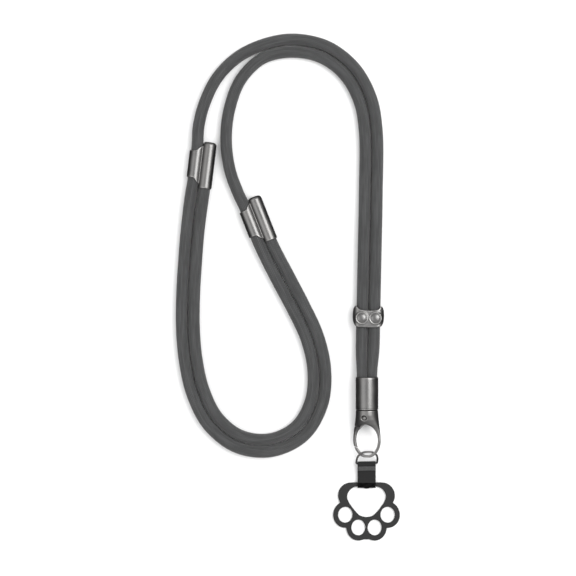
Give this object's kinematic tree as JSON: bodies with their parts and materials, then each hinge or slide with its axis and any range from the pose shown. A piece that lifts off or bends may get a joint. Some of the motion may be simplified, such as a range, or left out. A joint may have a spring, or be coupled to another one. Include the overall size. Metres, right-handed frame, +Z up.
{
  "type": "phone crossbody strap",
  "caption": "Round-cord crossbody phone strap with sliding adjusters, a cord keeper, a swivel snap clasp and a paw-shaped patch that fixes to a phone case.",
  "frame": {"origin": "on the table, under the middle of the box round the hard pieces (both sliders, keeper, ferrule, clasp, D-ring, tab and patch)", "axes": "+Z up off the table the strap lies on; +Y up the strap, from the patch towards the loop; +X to the right in the front view"},
  "size_m": [0.1489, 0.337, 0.0149],
  "materials": {
    "cord": "fine braided polyester, matt",
    "gunmetal": "dark satin plated zinc casting",
    "webbing": "black woven tape with a paler stitched band",
    "patch": "black, smooth, semi-matt"
  },
  "bodies": {
    "loop": {"cord_outer": "cord", "cord_inner": "cord", "slider_left": "gunmetal", "slider_right": "gunmetal", "ferrule": "gunmetal"},
    "keeper": {"keeper": "gunmetal"},
    "clasp": {"hook": "gunmetal", "gate_rivet": "gunmetal", "d_ring": "gunmetal", "webbing_tab": "webbing", "paw_patch": "patch"},
    "gate": {"gate": "gunmetal"}
  },
  "joints": [
    {"name": "keeper_slide", "type": "slide", "parent": "loop", "child": "keeper", "axis": [0.0211, 0.9998, 0], "range_m": [-0.012, 0.038]},
    {"name": "clasp_swivel", "type": "hinge", "parent": "loop", "child": "clasp", "pos_m": [0.0485, -0.045, 0.00745], "axis": [0, 1, 0], "continuous": true},
    {"name": "gate_hinge", "type": "hinge", "parent": "clasp", "child": "gate", "pos_m": [0.0485, -0.05025, 0.00745], "axis": [-0.342, 0, 0.9397], "range_deg": [0, 20], "stiffness_Nm_per_rad": 0.002, "springref_deg": -17.19}
  ]
}
